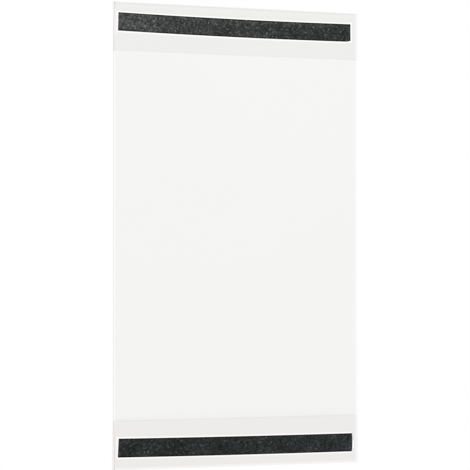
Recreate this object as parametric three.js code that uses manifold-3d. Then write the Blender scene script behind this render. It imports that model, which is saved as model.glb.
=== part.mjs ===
// Magnetic document pocket for one upright A4 sheet: clear film, two magnetic strips on the back.
// Millimetres. +Z is up, +X is to the right of a reader, and the reader stands at -Y.
// The plane y = 0 is the surface that the pocket sticks to, and the origin is the middle of the
// upper magnetic face.
import * as THREE from "three";
import { mergeVertices } from "three/addons/utils/BufferGeometryUtils.js";
import Module from "manifold-3d";

const wasm = await Module();
wasm.setup();

// Document and pocket outline
const sheetHeight = 297;
const sheetPlay = 0.3;
const pocketWidth = 220;
const upperBandHeight = 39.6;
const lowerBandHeight = 40.1;
const mouthStep = 0.8;

// Film, gap for the document, and magnet
const filmThickness = 0.2;
const documentGap = 0.4;
const magnetThickness = 1;

// Fused edges and the line that the document stands on
const seamWidth = 1.9;
const stopWidth = 1;
const stopDrop = 0.55;

// Cover bands: how far they stand out at the sides, and their flat welded margins round the tent
const bandOverhang = 0.5;
const sideMargin = 2;
const upperEdgeMargin = 4;
const lowerEdgeMargin = 4;
const freeEdgeMargin = 6;
const tentClearance = 0.3;

// Each strip lies as it was cut and stuck on. left is its left end from the pocket's left edge, inset is
// the middle of its height from the nearer end of the pocket, rise is its climb to the right, and sag
// its bow. leftCut is the slant of the left end, endBulge the bow of the right one, and chip the width
// and height of what is missing from the lower right corner.
const upperStrip = {
  left: 4.7, length: 209.6, height: 14.6, inset: 16.8, rise: -0.7, sag: 0.8, leftCut: 0.4, endBulge: 0,
  chip: [2.4, 0.8],
};
const lowerStrip = {
  left: 4.9, length: 210.4, height: 15, inset: 17, rise: -1, sag: 0.35, leftCut: 0.8, endBulge: 0.5,
  chip: [0.8, 0.4],
};
const outlineSteps = 16;
const endSteps = 4;

// Depths, from the surface that the pocket sticks to towards the reader
const magnetBack = -filmThickness;
const magnetFront = magnetBack - magnetThickness;
const backSheetFront = magnetFront - filmThickness;
const frontSheetBack = backSheetFront - documentGap;
const frontFace = frontSheetBack - filmThickness;

// Heights, from the middle of the upper magnetic strip
const topZ = upperStrip.inset;
const upperFreeZ = topZ - upperBandHeight;
const lowerFreeZ = upperFreeZ - sheetHeight - sheetPlay;
const bottomZ = lowerFreeZ - lowerBandHeight;
const lowerStripZ = bottomZ + lowerStrip.inset;

// Widths
const leftX = -pocketWidth / 2;
const rightX = pocketWidth / 2;
const innerWidth = pocketWidth - 2 * seamWidth;
const sheetFootZ = bottomZ + seamWidth;

const film = (tone) => new THREE.MeshStandardMaterial({
  color: tone,
  roughness: 0.25,
  metalness: 0,
  transparent: true,
  opacity: 0.25,
});
const magnetRubber = () => new THREE.MeshStandardMaterial({ color: 0x33363a, roughness: 0.6, metalness: 0 });

const pocket = new THREE.Group();

function add(name, geometry, material) {
  const mesh = new THREE.Mesh(geometry, material);
  mesh.name = name;
  pocket.add(mesh);
  return mesh;
}

// A box between two corners
function box(x0, x1, y0, y1, z0, z1) {
  const geometry = new THREE.BoxGeometry(x1 - x0, y1 - y0, z1 - z0);
  return geometry.translate((x0 + x1) / 2, (y0 + y1) / 2, (z0 + z1) / 2);
}

// The closed solid of a geometry, for cuts and joins
function solid(geometry) {
  const bare = geometry.clone();
  bare.deleteAttribute("normal");
  bare.deleteAttribute("uv");
  const merged = mergeVertices(bare);
  return new wasm.Manifold(new wasm.Mesh({
    numProp: 3,
    vertProperties: new Float32Array(merged.attributes.position.array),
    triVerts: new Uint32Array(merged.index.array),
  }));
}

// The geometry of a solid
function geometryOf(manifold) {
  const mesh = manifold.getMesh();
  const geometry = new THREE.BufferGeometry();
  geometry.setAttribute("position", new THREE.BufferAttribute(new Float32Array(mesh.vertProperties), 3));
  geometry.setIndex(new THREE.BufferAttribute(new Uint32Array(mesh.triVerts), 1));
  const flat = geometry.toNonIndexed();
  flat.computeVertexNormals();
  return flat;
}

// The two film sheets, flat between the fused edges
function buildSheets() {
  const x0 = -innerWidth / 2;
  const x1 = innerWidth / 2;
  const front = box(x0, x1, frontFace, frontSheetBack, sheetFootZ, topZ - mouthStep);
  const back = box(x0, x1, backSheetFront, magnetFront, sheetFootZ, topZ);
  add("front_sheet", front, film(0xf3f3f1));
  add("back_sheet", back, film(0xf1f1ee));
}

// The section of a fused edge bead: flat where the films run into it, round on its outer side
function beadShape() {
  const depth = magnetFront - frontFace;
  const crown = seamWidth / 2;
  const shape = new THREE.Shape();
  shape.moveTo(0, 0);
  shape.lineTo(seamWidth - crown, 0);
  shape.absellipse(seamWidth - crown, depth / 2, crown, depth / 2, -Math.PI / 2, Math.PI / 2, false, 0);
  shape.lineTo(0, depth);
  shape.closePath();
  return shape;
}

function beadGeometry(length) {
  return new THREE.ExtrudeGeometry(beadShape(), { depth: length, bevelEnabled: false, curveSegments: 8 });
}

// Side beads run the whole height of the back sheet, and the bottom bead runs between them
function buildSeams() {
  const height = topZ - bottomZ;
  const right = beadGeometry(height).translate(rightX - seamWidth, frontFace, bottomZ);
  const left = beadGeometry(height).rotateZ(Math.PI).translate(leftX + seamWidth, magnetFront, bottomZ);
  const bottom = beadGeometry(innerWidth).rotateY(Math.PI / 2);
  bottom.translate(-innerWidth / 2, frontFace, bottomZ + seamWidth);
  add("left_side_seam", left, film(0xe9e9e6));
  add("right_side_seam", right, film(0xe9e9e6));
  add("lower_edge_seam", bottom, film(0xe9e9e6));

  const stopTop = lowerFreeZ - stopDrop;
  const x0 = -innerWidth / 2;
  const stop = box(x0, x0 + innerWidth, frontSheetBack, backSheetFront, stopTop - stopWidth, stopTop);
  add("document_stop_seam", stop, film(0xe2e2de));
}

// The outline of a strip as it is stuck on, in x and z, grown by a margin
function stripOutline(strip, midZ, grow) {
  const x0 = leftX + strip.left;
  const x1 = x0 + strip.length;
  const half = strip.height / 2 + grow;
  // a parabola for the sag, with its mean height left at zero
  const midAt = (t) => midZ + strip.rise * (t - 0.5) - strip.sag * (4 * t * (1 - t) - 2 / 3);
  const lower = [];
  const upper = [];
  for (let i = 0; i <= outlineSteps; i += 1) {
    const t = i / outlineSteps;
    const x = THREE.MathUtils.lerp(x0, x1, t);
    lower.push([x, midAt(t) - half]);
    upper.push([x, midAt(t) + half]);
  }
  const [chipWidth, chipHeight] = strip.chip;
  lower[0][0] -= grow;
  upper[0][0] += strip.leftCut - grow;
  upper[outlineSteps][0] += grow;
  const corner = lower.pop();
  lower.push([corner[0] + grow - chipWidth, corner[1]]);
  const end = [];
  for (let i = 0; i < endSteps; i += 1) {
    const t = i / endSteps;
    const z = THREE.MathUtils.lerp(corner[1] + chipHeight, upper[outlineSteps][1], t);
    end.push([corner[0] + grow + strip.endBulge * 4 * t * (1 - t), z]);
  }
  return [...lower, ...end, ...upper.reverse()];
}

function stripGeometry(strip, midZ) {
  const shape = new THREE.Shape(stripOutline(strip, midZ, 0).map(([x, z]) => new THREE.Vector2(x, z)));
  const geometry = new THREE.ExtrudeGeometry(shape, { depth: magnetThickness, bevelEnabled: false });
  // the shape's second axis turns up to +Z, and the depth runs from the back face towards the reader
  return geometry.rotateX(Math.PI / 2).translate(0, magnetBack, 0);
}

function buildStrips() {
  add("upper_magnetic_strip", stripGeometry(upperStrip, 0), magnetRubber());
  add("lower_magnetic_strip", stripGeometry(lowerStrip, lowerStripZ), magnetRubber());
}

// A cover band: a flat film with a tent pressed over the strip, welded flat all round it
function bandGeometry(strip, midZ, z0, z1, lowMargin, highMargin) {
  const half = pocketWidth / 2 + bandOverhang;
  const bandBack = magnetFront + filmThickness;
  const flange = solid(box(-half, half, magnetFront, bandBack, z0, z1));
  const foot = pocketWidth / 2 - sideMargin;
  const footAt = (y) => [
    [-foot, y, z0 + lowMargin],
    [foot, y, z0 + lowMargin],
    [foot, y, z1 - highMargin],
    [-foot, y, z1 - highMargin],
  ];
  const crownAt = (y) => stripOutline(strip, midZ, tentClearance).map(([x, z]) => [x, y, z]);
  const outer = wasm.Manifold.hull([...footAt(magnetFront + filmThickness), ...crownAt(0)]);
  // the room inside runs out through the face that lies on the back sheet
  const through = footAt(magnetFront - filmThickness);
  const inner = wasm.Manifold.hull([...through, ...footAt(magnetFront), ...crownAt(magnetBack)]);
  return geometryOf(flange.add(outer).subtract(inner));
}

function buildBands() {
  const upper = bandGeometry(upperStrip, 0, upperFreeZ, topZ, freeEdgeMargin, upperEdgeMargin);
  const lower = bandGeometry(lowerStrip, lowerStripZ, bottomZ, lowerFreeZ, lowerEdgeMargin, freeEdgeMargin);
  add("upper_cover_band", upper, film(0xefefec));
  add("lower_cover_band", lower, film(0xefefec));
}

buildSheets();
buildSeams();
buildStrips();
buildBands();

export default pocket;
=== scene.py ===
"""Looks of the magnetic document pocket: clear film, black magnetic strips, white studio."""

import math

import bpy
import numpy as np
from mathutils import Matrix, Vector, noise


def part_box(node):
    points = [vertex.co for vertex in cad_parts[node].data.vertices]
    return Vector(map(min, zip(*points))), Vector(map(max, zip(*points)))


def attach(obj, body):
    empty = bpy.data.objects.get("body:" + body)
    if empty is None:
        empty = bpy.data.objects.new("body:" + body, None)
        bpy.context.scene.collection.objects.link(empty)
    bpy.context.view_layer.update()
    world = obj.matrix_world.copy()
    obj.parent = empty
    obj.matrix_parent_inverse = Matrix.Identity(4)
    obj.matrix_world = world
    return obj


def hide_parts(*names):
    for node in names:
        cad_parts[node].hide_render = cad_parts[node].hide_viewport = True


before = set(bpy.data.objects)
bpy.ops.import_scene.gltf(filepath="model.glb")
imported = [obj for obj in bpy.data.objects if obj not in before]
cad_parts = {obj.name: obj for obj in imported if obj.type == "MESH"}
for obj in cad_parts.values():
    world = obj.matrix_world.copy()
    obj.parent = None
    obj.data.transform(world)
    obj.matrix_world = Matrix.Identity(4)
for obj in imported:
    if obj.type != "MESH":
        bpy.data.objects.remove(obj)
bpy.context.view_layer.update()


# Lengths are in millimetres, except for the lamps and the floor, which are in metres
MM = 0.001
# thickness of a film
FILM = 0.2
# air between pieces that lie on each other, so that no two faces share a plane
AIR = 0.03
# spacing of the mesh lines of the films and of the side and bottom seams
GRID = 3.0
SEAM_GRID = 2.0
# how far each sheet leaves its plane to meet the other one at a weld
PINCH = 0.18
# how far forward the lip of the mouth stands in the middle
MOUTH_BOW = 0.35
# painted highlight: how much lighter the band film is painted in a thin ring round a strip, for the light
# caught where it tents over the strip's edge
RING_HIGHLIGHT = 0.115
# how far the adhesive stands out past the long edges of a strip
ADHESIVE = 0.11

# Camera, fitted to the photograph's edges
AZIMUTH = -24.22
ELEVATION = -1.075
DISTANCE = 1995.0
AIM = (-1.73, 0.0, -170.48)
FOCAL_PX = 2427.0
PICTURE_PX = 470.0
SENSOR = 36.0


def box_mm(node):
    low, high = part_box(node)
    return np.array(low) / MM, np.array(high) / MM


FRONT = box_mm("front_sheet")
BACK = box_mm("back_sheet")
UPPER_BAND = box_mm("upper_cover_band")
LOWER_BAND = box_mm("lower_cover_band")
UPPER_MAGNET = box_mm("upper_magnetic_strip")
LOWER_MAGNET = box_mm("lower_magnetic_strip")
STOP = box_mm("document_stop_seam")
LEFT = box_mm("left_side_seam")
RIGHT = box_mm("right_side_seam")

# width of a side seam, height of the top, and heights of the free edges of the two bands
WELD = LEFT[1][0] - LEFT[0][0]
TOP = BACK[1][2]
UPPER_FREE = UPPER_BAND[0][2]
LOWER_FREE = LOWER_BAND[1][2]


def smooth(t):
    t = np.clip(t, 0.0, 1.0)
    return t * t * (3 - 2 * t)


def ramp(value, start, end):
    """0 at start, 1 at end, eased. The end may lie on either side of the start."""
    return smooth((value - start) / (end - start))


def bell(value, centre, width):
    return np.exp(-((value - centre) / width) ** 2)


# Meshes


def solid_grid(name, front, back, attributes):
    """A closed solid between two grids of points, in millimetres, each of shape (n, m, 3)."""
    n, m, _ = front.shape
    points = np.concatenate([front.reshape(-1, 3), back.reshape(-1, 3)]) * MM
    index = np.arange(n * m).reshape(n, m)
    a, b, c, d = index[:-1, :-1], index[1:, :-1], index[1:, 1:], index[:-1, 1:]
    front_faces = np.stack([a, b, c, d], axis=-1).reshape(-1, 4)
    back_faces = front_faces[:, ::-1] + n * m
    ring = np.concatenate([index[:, 0], index[-1, 1:], index[-2::-1, -1], index[0, -2:0:-1]])
    after = np.roll(ring, -1)
    rim = np.stack([after, ring, ring + n * m, after + n * m], axis=-1)
    faces = np.concatenate([front_faces, back_faces, rim])
    mesh = bpy.data.meshes.new(name)
    mesh.from_pydata(points.tolist(), [], faces.tolist())
    for key, values in attributes.items():
        layer = mesh.attributes.new(key, "FLOAT", "POINT")
        layer.data.foreach_set("value", np.concatenate([values.ravel()] * 2).astype(np.float32))
    mesh.shade_smooth()
    mesh.set_sharp_from_angle(angle=math.radians(40))
    piece = bpy.data.objects.new(name, mesh)
    bpy.context.scene.collection.objects.link(piece)
    return piece


def shine(piece, on_front, on_back):
    """Sets the gloss of the two faces of a grid solid, each a number or a grid of them."""
    count = len(piece.data.vertices) // 2
    sides = [np.broadcast_to(np.ravel(side), count) for side in (on_front, on_back)]
    layer = piece.data.attributes.new("shine", "FLOAT", "POINT")
    layer.data.foreach_set("value", np.concatenate(sides).astype(np.float32))


def around(x, y, z, half):
    """The front and the back grid of a solid around a middle surface, with half its thickness."""
    front = np.stack(np.broadcast_arrays(x, y - half, z), axis=-1)
    back = np.stack(np.broadcast_arrays(x, y + half, z), axis=-1)
    return front, back


def spaced(start, end, step, extra=()):
    """Evenly spaced stations between two ends, with some extra ones."""
    count = max(2, int(round(abs(end - start) / step)) + 1)
    stations = np.concatenate([np.linspace(start, end, count), np.array(extra, float)])
    return np.unique(np.round(stations, 4))


def near(centre, *offsets):
    return [centre + o for o in offsets]


def dress(piece, node, material):
    """Puts a piece in the place of a CAD node."""
    piece.data.materials.append(material)
    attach(piece, "root")
    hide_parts(node)


# The lie of the film


def waviness(x, z):
    """Slow swells of the loose film, which fade out towards the seams and the bands."""
    left, right = LEFT[1][0], RIGHT[0][0]
    inside = ramp(x, left, left + 35) * ramp(x, right, right - 35)
    between = ramp(z, UPPER_FREE + 4, UPPER_FREE - 45) * ramp(z, LOWER_FREE - 1, LOWER_FREE + 45)
    swell = 0.45 * np.sin(x / 31 + 0.8 * np.sin(z / 47)) * np.cos(z / 58 + 0.4)
    swell += 0.30 * np.sin(x / 17 - z / 39 + 1.1) + 0.18 * np.sin(z / 21 + x / 66)
    return swell * inside * between


def pinch(x, z):
    """1 where the two sheets run together, at the seams and at the stop weld, and 0 elsewhere."""
    low, high = FRONT
    sides = ramp(x, low[0] + 3.5, low[0]) + ramp(x, high[0] - 3.5, high[0])
    foot = ramp(z, low[2] + 3.0, low[2])
    stop = ramp(np.abs(z - (STOP[0][2] + STOP[1][2]) / 2), 2.2, 0.4)
    return np.maximum(np.maximum(sides, foot), stop)


def mouth_bow(x, z):
    """The free lip of the front sheet stands a little forward in the middle."""
    across = np.cos(np.pi * x / (FRONT[1][0] - FRONT[0][0])) ** 2
    return -MOUTH_BOW * across * ramp(z, UPPER_FREE - 30, FRONT[1][2])


def sheet_grid(low, high, lip=()):
    """The mesh lines of a sheet, closer together at the welds, and with those of a lip if it has one."""
    sides = near(low[0], 0.7, 1.4, 2.1) + near(high[0], -0.6, -0.9, -1.6, -2.3)
    welds = near(low[2], 0.8, 1.6, 2.4) + near(STOP[0][2], -1.6, -0.8, 0.1, 0.5, 0.9, 1.8)
    xs = spaced(low[0], high[0], GRID, sides)
    zs = spaced(low[2], high[2], GRID, welds + list(lip))
    return np.meshgrid(xs, zs, indexing="ij")


def over_strips(x, z):
    """1 in front of the strips, whose own coat of adhesive has the gloss there, and 0 elsewhere."""
    covered = np.zeros_like(x)
    for low, high in (UPPER_MAGNET, LOWER_MAGNET):
        outside = np.maximum(np.maximum(low[0] - x, x - high[0]), np.maximum(low[2] - z, z - high[2]))
        covered = np.maximum(covered, outside < GRID)
    return covered


def front_film(material):
    low, high = FRONT
    x, z = sheet_grid(low, high, near(high[2], -0.2, -0.5, -0.7, -0.95, -1.3))
    # a swell of its own, so that the two sheets don't lie in step
    own = 0.08 * np.sin(x / 23 + z / 35)
    own = own * ramp(z, UPPER_FREE, UPPER_FREE - 40) * ramp(z, LOWER_FREE, LOWER_FREE + 40)
    y = (low[1] + high[1]) / 2 + waviness(x, z) + own + mouth_bow(x, z) + PINCH * pinch(x, z)
    # painted shade: the cut lip of the mouth is painted as a thin dark line, with a faint darkening over
    # the last few millimetres below it
    lip = high[2]
    tone = 1 - 0.040 * ramp(z, lip - 0.95, lip - 0.7) - 0.002 * ramp(z, lip - 3.5, lip - 1)
    # it is a little clearer between the upper strip and the mouth
    tone = tone + 0.005 * ramp(z, UPPER_MAGNET[1][2] + 1, UPPER_MAGNET[1][2] + 3)
    # light gets lost between the sheets just above the stop
    tone = tone - 0.0082 * ramp(z, LOWER_FREE + 7, LOWER_FREE)
    piece = solid_grid("front_film", *around(x, y, z, FILM / 2), {"tone": tone})
    shine(piece, 1 - over_strips(x, z), 0)
    dress(piece, "front_sheet", material)


def back_film(material):
    low, high = BACK
    x, z = sheet_grid(low, high)
    y = (low[1] + high[1]) / 2 + waviness(x, z) - PINCH * pinch(x, z)
    piece = solid_grid("back_film", *around(x, y, z, FILM / 2), {"tone": np.ones_like(x)})
    # where the bands cover it, they have the gloss of the back
    uncovered = ramp(z, UPPER_FREE, UPPER_FREE - 1) * ramp(z, LOWER_FREE, LOWER_FREE + 1)
    shine(piece, 0, uncovered)
    dress(piece, "back_sheet", material)


# Strips and the bands over them


def long_edges(node):
    """The upper and the lower edge of a strip as rows of (x, z), from the CAD node's own corners."""
    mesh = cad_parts[node].data
    points = np.array([tuple(v.co) for v in mesh.vertices]) / MM
    points = np.unique(np.round(points[:, [0, 2]], 3), axis=0)
    # the middle line between the two ends parts the upper corners from the lower ones
    middle = np.polyval(np.polyfit(points[:, 0], points[:, 1], 1), points[:, 0])
    both = []
    for side in (1, -1):
        edge = points[side * (points[:, 1] - middle) > 0]
        # of corners one above another at a straight end, the outermost counts
        edge = edge[np.lexsort((-side * edge[:, 1], edge[:, 0]))]
        edge = edge[np.concatenate([[True], np.diff(edge[:, 0]) > 0.02])]
        edge[:, 1] += side * ADHESIVE
        both.append(edge)
    return both


def height_at(edge, x):
    return np.interp(x, edge[:, 0], edge[:, 1])


def band_heights(low, high, top, bottom):
    """Stations up a band at each of its x: close together along the strip's two edges."""
    steps = np.array([0, 0.2, 0.35, 0.6, 0.85, 1.0, 1.15, 1.35, 1.8, 2.6, 3.6])
    below = low[2] + np.linspace(0, 1, 6)[:-1] * (bottom - steps[-1] - low[2])
    over_strip = bottom + np.linspace(0, 1, 9)[1:-1] * (top - bottom)
    above = top + steps[-1] + np.linspace(0, 1, 6)[1:] * (high[2] - top - steps[-1])
    return np.concatenate([below, bottom - steps[::-1], over_strip, top + steps, above], axis=1)


def tent(x, z, low, high, ends, top, bottom):
    """1 where the band lies on the strip, falling to 0 where it lies flat on the back sheet."""
    # it stays up this far past the strip's edges, and falls over these shares of the way to its own
    crown = 0.3
    upwards, downwards, sideways = 0.58, 0.62, 0.6
    above = (z - top - crown) / (upwards * (high[2] - top))
    below = (bottom - z - crown) / (downwards * (bottom - low[2]))
    left = (ends[0] - x - crown) / (sideways * (ends[0] - low[0]))
    right = (x - ends[1] - crown) / (sideways * (high[0] - ends[1]))
    over = np.where(z > top, above, np.where(z < bottom, below, 0))
    out = np.clip(np.maximum(over, np.maximum(left, right)), 0, 1)
    # part straight and part eased
    return 1 - (0.65 * out + 0.35 * smooth(out))


def band_tone(x, z, right_x, free_z, free_edge_shade, ends, top, bottom):
    """Painted highlight in a thin ring round the strip, clearer past the sheets' right edge, and painted
    shade in a thin line at the free edge.
    """
    # the strip's thickness hides the first part of the ring at its right end
    hidden = 0.5
    sides = np.maximum(ends[0] - x, x - ends[1] - hidden)
    edge = np.maximum(np.maximum(bottom - z, z - top), sides)
    # painted highlight: a thin ring round the strip is painted lighter
    tone = 1 + RING_HIGHLIGHT * ramp(edge, -0.1, 0.1) * ramp(edge, 1.3, 0.9)
    tone = tone + 0.029 * ramp(x, right_x - 1.3, right_x - 1.0)
    # painted shade: a thin dark line along the band's free edge
    return tone - free_edge_shade * (np.abs(z - free_z) < 0.6)


def cover_band(name, node, magnet_node, material, free_z, free_edge_shade):
    """A film band pressed over a magnetic strip, lying flat on the back sheet all round it.

    free_z is the height of its free edge, and the last argument how dark the line of painted shade along
    that edge is.
    """
    low, high = box_mm(node)
    # the left edge starts at the seam's and is then laid along the seam's rim
    low[0] = LEFT[0][0]
    strip_low, strip_high = box_mm(magnet_node)
    ends = (strip_low[0], strip_high[0])
    # mesh lines close together where the film bends over an end of the strip
    bends = (-1.35, -1.15, -1.0, -0.6, -0.35, -0.2, 0, 0.2, 0.35, 0.6, 1.0, 1.15, 1.35, 1.6, 1.85)
    close = near(ends[0], *bends) + near(ends[1], *bends) + near(high[0], -1.3, -1.15, -1.0)
    xs = spaced(low[0], high[0], GRID, close)
    top, bottom = [height_at(edge, xs)[:, None] for edge in long_edges(magnet_node)]
    z = band_heights(low, high, top, bottom)
    x = np.repeat(xs[:, None], z.shape[1], axis=1)
    rise = tent(x, z, low, high, ends, top, bottom)
    lift = strip_high[1] - BACK[1][1]
    y = BACK[1][1] + AIR + FILM / 2 + lift * rise - PINCH * pinch(x, z) * (1 - rise)
    tone = band_tone(x, z, high[0], free_z, free_edge_shade, ends, top, bottom)
    x = x - (left_rim(z) - WELD) * ramp(x, low[0] + 3, low[0])
    piece = solid_grid(name, *around(x, y, z, FILM / 2), {"tone": tone})
    shine(piece, 0, 1)
    dress(piece, node, material)


def magnet(name, node, material):
    """A flexible magnet: a flat strip with slightly rounded cut edges."""
    rounding, rounded_width, end_reach = 0.12, 0.25, 14
    low, high = box_mm(node)
    upper, lower = long_edges(node)
    length, height = high[0] - low[0], high[2] - low[2]
    # shares of the length and of the height, closer together at the edges
    close = np.array([0, 0.1, 0.25, 0.5, 0.8, 1.2, 1.8, 2.6, 3.6]) / length
    u = np.concatenate([close, np.linspace(close[-1], 1 - close[-1], 136)[1:-1], 1 - close[::-1]])
    v = np.array([0, 0.01, 0.03, 0.07, 0.13, 0.25, 0.4, 0.6, 0.75, 0.87, 0.93, 0.97, 0.99, 1])
    x_lower, x_upper = [edge[0, 0] + u * (edge[-1, 0] - edge[0, 0]) for edge in (lower, upper)]
    z_lower, z_upper = height_at(lower, x_lower), height_at(upper, x_upper)
    x = x_lower[:, None] * (1 - v) + x_upper[:, None] * v
    z = z_lower[:, None] * (1 - v) + z_upper[:, None] * v
    # distances from the long edges and from the ends
    rim = np.minimum(v, 1 - v)[None, :] * height + 0 * x
    along = np.minimum(u, 1 - u)[:, None] * length + 0 * x
    round_off = rounding * (1 - ramp(np.minimum(rim, along), 0, rounded_width))
    front = np.stack([x, low[1] + AIR + round_off, z], axis=-1)
    back = np.stack([x, high[1] - AIR - round_off, z], axis=-1)
    # 1 along the upper edge and at the ends, where the adhesive is thicker
    crest = np.maximum(ramp(v, 0.74, 0.88)[None, :], 1 - ramp(along, 0, end_reach))
    piece = solid_grid(name, front, back, {"rim": rim, "crest": crest})
    dress(piece, node, material)


# Seams


# The left edge is cut by hand: how far below the top it changes its course, and how far its rim and
# the middle of its bead lie outside the sheets there
LEFT_DROPS = (0, 10, 22, 337, 346, 358, 377)
LEFT_RIM = (2.3, 1.9, 1.75, 1.75, 2.05, 2.25, 2.55)
LEFT_BEAD = (0.45, 0.9, 1.35, 1.35, 0.8, 0.48, 0.43)

# A side seam's section: shares of its width, and half its thickness at some of them
SEAM_SHARES = np.array([
    0, 0.06, 0.14, 0.24, 0.34, 0.44, 0.5, 0.56, 0.62, 0.68, 0.74, 0.8, 0.86, 0.92, 0.97, 1.0,
])
SEAM_KNOTS = [0, 0.1, 0.5, 0.65, 0.8, 0.92, 1.0]
SEAM_HALVES = [0.2, 0.14, 0.12, 0.25, 0.36, 0.27, 0.1]


def band_share(z):
    """How far a height is inside the upper and the lower band, from 0 to 1."""
    return ramp(z, UPPER_FREE - 1, UPPER_FREE + 1), ramp(z, LOWER_FREE + 1, LOWER_FREE - 1)


def left_rim(z):
    return np.interp(TOP - z, LEFT_DROPS, LEFT_RIM)


def left_bead(z):
    return np.interp(TOP - z, LEFT_DROPS, LEFT_BEAD)


def right_rim(z):
    """The right edge is straight, and stands out a little where the bands are welded in."""
    upper, lower = band_share(z)
    return WELD + 0.3 * (upper + lower)


def left_seam_tone(out, z):
    """The bead is dark, most of all beside the bands and at its ends, partly from its thicker film and
    partly as painted shade. out is the way from the sheets.
    """
    upper, lower = band_share(z)
    middle = 1 - upper - lower
    away = np.abs(out - left_bead(z))
    # partly the bead's thicker film and partly painted shade for the light its round section bends away
    bead = (0.055 * middle + 0.105 * upper + 0.10 * lower) * ramp(away, 0.5, 0.33)
    groove = (0.013 * middle - 0.022 * upper) * ramp(left_bead(z) - out, 0.35, 0.5)
    flange = 0.006 * lower * ramp(out - left_bead(z), 0.3, 0.6)
    ends = bell(z, LEFT[1][2] - 0.5, 0.9) + bell(z, LEFT[0][2] + 0.5, 0.9)
    return 1 - bead + groove - flange - 0.12 * ends * ramp(away, 0.7, 0.2)


def right_seam_tone(out, z):
    """Painted shade: the groove is a little dark, and so is the rim beside the bands."""
    upper, lower = band_share(z)
    return 1 - 0.004 * bell(out, 0.0, 0.35) - 0.028 * (upper + lower) * ramp(out, WELD - 0.3, WELD)


def side_seam(name, node, material, side, tone_at, rim):
    """A fused side edge: a thin pressed groove beside the sheets, and a round bead outside it."""
    low, high = box_mm(node)
    inner = high[0] if side < 0 else low[0]
    zs = spaced(low[2], high[2], SEAM_GRID, near(UPPER_FREE, -1, -0.5, 0, 0.5, 1))
    wobble = np.array([0.03 * noise.noise(Vector((side * 3.0, 0.0, z / 9))) for z in zs])
    width = rim(zs) * (1 + wobble)
    half = np.interp(SEAM_SHARES, SEAM_KNOTS, SEAM_HALVES)[None, :] * (1 + 2 * wobble[:, None])
    out = SEAM_SHARES[None, :] * width[:, None]
    z = np.repeat(zs[:, None], len(SEAM_SHARES), axis=1)
    tone = tone_at(out, z)
    front, back = around(inner + side * out, (low[1] + high[1]) / 2, z, half)
    if side > 0:
        front, back, tone = front[::-1], back[::-1], tone[::-1]
    piece = solid_grid(name, front, back, {"tone": tone})
    shine(piece, 0.3, 0.3)
    dress(piece, node, material)


def level_seam(
        name, node, material, step, shares, halves, from_top=False, ribs=0.0, clear_foot=0.0, gloss=0.0):
    """A weld that runs across, with half its thickness at each of some shares of its height.

    ribs is how much thinner every other mesh line is, and clear_foot how much clearer the foot is.
    """
    low, high = box_mm(node)
    shares, halves = np.array(shares), np.array(halves)
    xs = spaced(low[0], high[0], step)
    x = np.repeat(xs[:, None], len(shares), axis=1)
    height = high[2] - low[2]
    z = high[2] - height * shares if from_top else low[2] + height * shares
    half = halves[None, :] * (1 - ribs * (np.arange(len(xs)) % 2)[:, None])
    tone = 1 + clear_foot * (1 - ramp(shares, 0.2, 0.5))[None, :] + 0 * x
    front, back = around(x, (low[1] + high[1]) / 2, z[None, :], half)
    if from_top:
        front, back = front[::-1], back[::-1]
    piece = solid_grid(name, front, back, {"tone": tone})
    shine(piece, gloss, gloss)
    dress(piece, node, material)


# Materials


class Tree:
    """Short names for the nodes of one material or world."""

    def __init__(self, owner):
        owner.use_nodes = True
        self.owner = owner
        self.nodes = owner.node_tree.nodes
        self.links = owner.node_tree.links
        self.nodes.clear()

    def node(self, kind, inputs=None, **settings):
        made = self.nodes.new("ShaderNode" + kind)
        for key, value in settings.items():
            setattr(made, key, value)
        for key, value in (inputs or {}).items():
            socket = made.inputs[key]
            if isinstance(value, bpy.types.NodeSocket):
                self.links.new(value, socket)
            else:
                socket.default_value = value
        return made

    def math(self, operation, a, b):
        return self.node("Math", {0: a, 1: b}, operation=operation).outputs[0]

    def times(self, first, *others):
        for other in others:
            first = self.math("MULTIPLY", first, other)
        return first

    def scaled(self, colour, factor):
        return self.node("VectorMath", {0: colour, "Scale": factor}, operation="SCALE").outputs[0]

    def between(self, factor, first, second):
        """A colour from first, at factor 0, to second, at 1."""
        inputs = {"Factor": factor, "A": (*first, 1), "B": (*second, 1)}
        return self.node("Mix", inputs, data_type="RGBA").outputs["Result"]

    def attribute(self, name):
        return self.node("Attribute", attribute_name=name).outputs["Fac"]

    def place(self, axis):
        return self.node("SeparateXYZ", {0: self.node("TexCoord").outputs["Object"]}).outputs[axis]

    def noise(self, scale, detail=2.0, roughness=0.5):
        # turned, so that the flat faces don't cut the noise along its own grid
        place = self.node("TexCoord").outputs["Object"]
        place = self.node("Mapping", {"Vector": place, "Rotation": (0.5, 0.7, 0.3)}).outputs[0]
        inputs = {"Vector": place, "Scale": scale, "Detail": detail, "Roughness": roughness}
        return self.node("TexNoise", inputs).outputs["Fac"]

    def spread(self, value, low, high, to_low=0.0, to_high=1.0):
        inputs = {"Value": value, "From Min": low, "From Max": high, "To Min": to_low, "To Max": to_high}
        return self.node("MapRange", inputs, clamp=True).outputs[0]

    def bump(self, strength, scale):
        inputs = {"Strength": strength, "Distance": 0.1 * MM, "Height": self.noise(scale, 3.0)}
        return self.node("Bump", inputs).outputs[0]

    def out(self, shader, kind="OutputMaterial"):
        self.node(kind, {"Surface": shader})
        return self.owner


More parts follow.
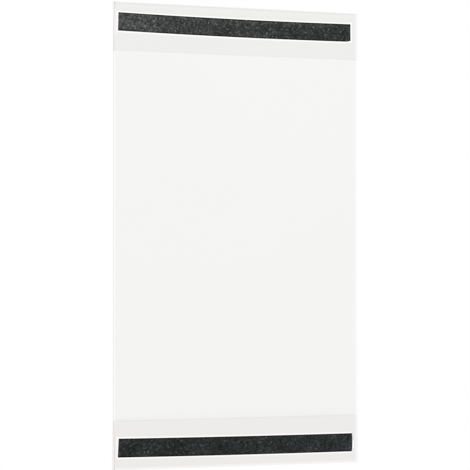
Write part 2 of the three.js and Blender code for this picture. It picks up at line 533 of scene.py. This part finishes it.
def film_material(name, clear_and_light_top, clear_and_light_low, gloss=0.12):
    """Clear film: each face passes its share of light, and an outer face has a soft gloss.

    The two shares after the name are those at the top and at the foot of the pocket: the film's own
    clearness and warm tint, with painted light and shade that changes with height.
    """
    t = Tree(bpy.data.materials.new(name))
    # painted light and shade: the share passed changes from the foot to the top of the pocket
    height = t.spread(t.place("Z"), BACK[0][2] * MM, TOP * MM)
    tint = t.between(height, clear_and_light_low, clear_and_light_top)
    # fine grain and slow clouds, with a mean near 1
    share = t.math("ADD", t.times(t.noise(900.0), 0.012), t.times(t.noise(14.0), 0.003))
    share = t.times(t.math("ADD", share, 0.9925), t.attribute("tone"))
    clear = t.node("BsdfTransparent", {"Color": t.scaled(tint, share)})
    bump = t.bump(0.15, 2400.0)
    sheen = t.node("BsdfGlossy", {"Color": (1, 1, 1, 1), "Roughness": gloss, "Normal": bump})
    # plastic mirrors 3% face on, and nearly all at a glancing angle
    slant = t.node("LayerWeight", {"Blend": 0.5, "Normal": bump}).outputs["Facing"]
    mirrored = t.math("ADD", t.times(t.math("POWER", slant, 5.0), 0.9), 0.03)
    glossy = t.times(mirrored, t.attribute("shine"))
    return t.out(t.node("MixShader", {0: glossy, 1: clear.outputs[0], 2: sheen.outputs[0]}).outputs[0])


def magnet_material(name, shade, tint, left, right, depth, dot, crest):
    """Black magnet rubber behind its adhesive, which wets the film unevenly and leaves light specks.

    shade and tint are the hues of its dark and light parts, left and right its level at the ends, depth
    how far the speckle strays from that, dot how light the specks are, and crest the lift of the edge.
    """
    t = Tree(bpy.data.materials.new(name))
    level = t.spread(t.place("X"), UPPER_MAGNET[0][0] * MM, UPPER_MAGNET[1][0] * MM, left, right)
    patches = t.times(t.math("SUBTRACT", t.noise(75.0, 3.0), 0.5), 0.5)
    grains = t.math("SUBTRACT", t.noise(560.0, 2.0, 0.6), 0.5)
    # a power strays as far above the level as below it on the scale of what the eye sees
    stray = t.math("POWER", 10.0, t.times(t.math("ADD", grains, patches), depth))
    # painted shade: the rubber is painted darker within about 1.5 mm of its long edges
    rim = t.spread(t.attribute("rim"), 0.75, 1.45, 0.2, 1.0)
    lift = t.spread(t.attribute("crest"), 0.0, 1.0, 1.0, 1 + crest)
    hue = t.between(t.spread(stray, 0.7, 1.4), shade, tint)
    colour = t.scaled(hue, t.times(level, stray, rim, lift))
    specks = t.times(t.spread(t.noise(620.0, 1.0), 0.62, 0.76), dot)
    colour = t.node("VectorMath", {0: colour, 1: specks}, operation="ADD").outputs[0]
    bump = t.bump(0.4, 1500.0)
    inputs = {"Base Color": colour, "Roughness": 0.5, "Normal": bump, "Specular IOR Level": 0.1}
    return t.out(t.node("BsdfPrincipled", inputs).outputs[0])


def floor_material():
    t = Tree(bpy.data.materials.new("pale_floor"))
    tone = t.spread(t.noise(3.0), 0.3, 0.7, 0.88, 0.895)
    colour = t.node("CombineColor", {0: tone, 1: tone, 2: tone})
    shader = t.node("BsdfPrincipled", {"Base Color": colour.outputs[0], "Roughness": 0.9})
    return t.out(shader.outputs[0])


# Studio


def white_world(strength):
    """Even light on the pocket, and plain white wherever the world is seen, mirrored or not."""
    t = Tree(bpy.data.worlds.new("studio"))
    path = t.node("LightPath").outputs
    through = t.math("MAXIMUM", path["Is Glossy Ray"], path["Is Transmission Ray"])
    seen = t.math("MAXIMUM", path["Is Camera Ray"], through)
    level = t.spread(seen, 0.0, 1.0, strength, 1.0)
    background = t.node("Background", {"Color": (1, 1, 1, 1), "Strength": level})
    bpy.context.scene.world = t.out(background.outputs[0], "OutputWorld")


def look_along(thing, direction):
    thing.rotation_euler = direction.to_track_quat("-Z", "Y").to_euler()
    bpy.context.scene.collection.objects.link(thing)


def lamp(name, place, size, power):
    """A square lamp at a place in metres, turned to the middle of the pocket."""
    data = bpy.data.lights.new(name, "AREA")
    data.size = size
    data.energy = power
    light = bpy.data.objects.new(name, data)
    light.location = place
    look_along(light, Vector((0, 0, AIM[2] * MM)) - light.location)


def floor():
    """A round pale floor well below the pocket. Its rim is out of level views and faint in raised ones."""
    radius, corners, drop = 6.6, 96, 0.7
    top = LOWER_BAND[0][2] * MM - drop
    turns = np.arange(corners) * 2 * np.pi / corners
    ring = [(radius * math.cos(turn), radius * math.sin(turn), top) for turn in turns]
    mesh = bpy.data.meshes.new("floor")
    mesh.from_pydata(ring, [], [range(corners)])
    mesh.materials.append(floor_material())
    ground = bpy.data.objects.new("floor", mesh)
    bpy.context.scene.collection.objects.link(ground)


def camera():
    data = bpy.data.cameras.new("camera")
    data.sensor_width = SENSOR
    data.lens = FOCAL_PX * SENSOR / PICTURE_PX
    data.clip_start, data.clip_end = 0.05, 50
    made = bpy.data.objects.new("camera", data)
    a, e = math.radians(AZIMUTH), math.radians(ELEVATION)
    outward = Vector((math.sin(a) * math.cos(e), -math.cos(a) * math.cos(e), math.sin(e)))
    made.location = Vector(AIM) * MM + outward * DISTANCE * MM
    look_along(made, -outward)
    bpy.context.scene.camera = made


camera()
white_world(0.85)
lamp("key", (-1.6, -1.8, 1.0), size=1.2, power=14)
lamp("fill", (1.95, -1.2, 0.4), size=1.3, power=8.2)
floor()

sheet_film = film_material("sheet_film", (0.9798, 0.9798, 0.9777), (0.974, 0.974, 0.969))
band_film = film_material("band_film", (0.9665, 0.9655, 0.9625), (0.9775, 0.9725, 0.974))
seam_film = film_material("seam_film", (0.98, 0.98, 0.977), (0.975, 0.975, 0.97), gloss=0.2)
stop_film = film_material("stop_film", (0.98, 0.98, 0.977), (0.992, 0.991, 0.988), gloss=0.3)
upper_rubber = magnet_material(
    "upper_rubber", shade=(0.92, 1.0, 1.015), tint=(0.95, 1.0, 0.975), left=0.056, right=0.026,
    depth=1.8, dot=0.15, crest=0.33)
lower_rubber = magnet_material(
    "lower_rubber", shade=(0.865, 1.0, 1.045), tint=(0.865, 1.0, 1.045), left=0.0238, right=0.0266,
    depth=1.7, dot=0.08, crest=0.2)

front_film(sheet_film)
back_film(sheet_film)
cover_band("upper_band_film", "upper_cover_band", "upper_magnetic_strip", band_film, UPPER_FREE, 0.010)
cover_band("lower_band_film", "lower_cover_band", "lower_magnetic_strip", band_film, LOWER_FREE, 0.006)
magnet("upper_magnet", "upper_magnetic_strip", upper_rubber)
magnet("lower_magnet", "lower_magnetic_strip", lower_rubber)
side_seam("left_weld", "left_side_seam", seam_film, -1, left_seam_tone, left_rim)
side_seam("right_weld", "right_side_seam", seam_film, 1, right_seam_tone, right_rim)
# the bottom bead hangs from the sheets, flat above and round below
level_seam(
    "bottom_weld", "lower_edge_seam", seam_film, SEAM_GRID, from_top=True, gloss=0.3,
    shares=[0, 0.2, 0.45, 0.7, 0.9, 1.0], halves=[0.2, 0.16, 0.16, 0.26, 0.28, 0.12])
# the stop is a pressed line between the sheets, crossed by the fine ribs of the welding bar
level_seam(
    "stop_weld", "document_stop_seam", stop_film, 1.0, ribs=0.12, clear_foot=0.007,
    shares=[0, 0.12, 0.35, 0.65, 0.88, 1.0], halves=[0.02, 0.04, 0.05, 0.05, 0.04, 0.02])

scene = bpy.context.scene
scene.view_settings.view_transform = "Standard"
scene.cycles.transparent_max_bounces = 32
# dark rubber behind several films keeps all of its light paths, and so its fine speckle
scene.cycles.min_light_bounces = 3
scene.cycles.min_transparent_bounces = 32
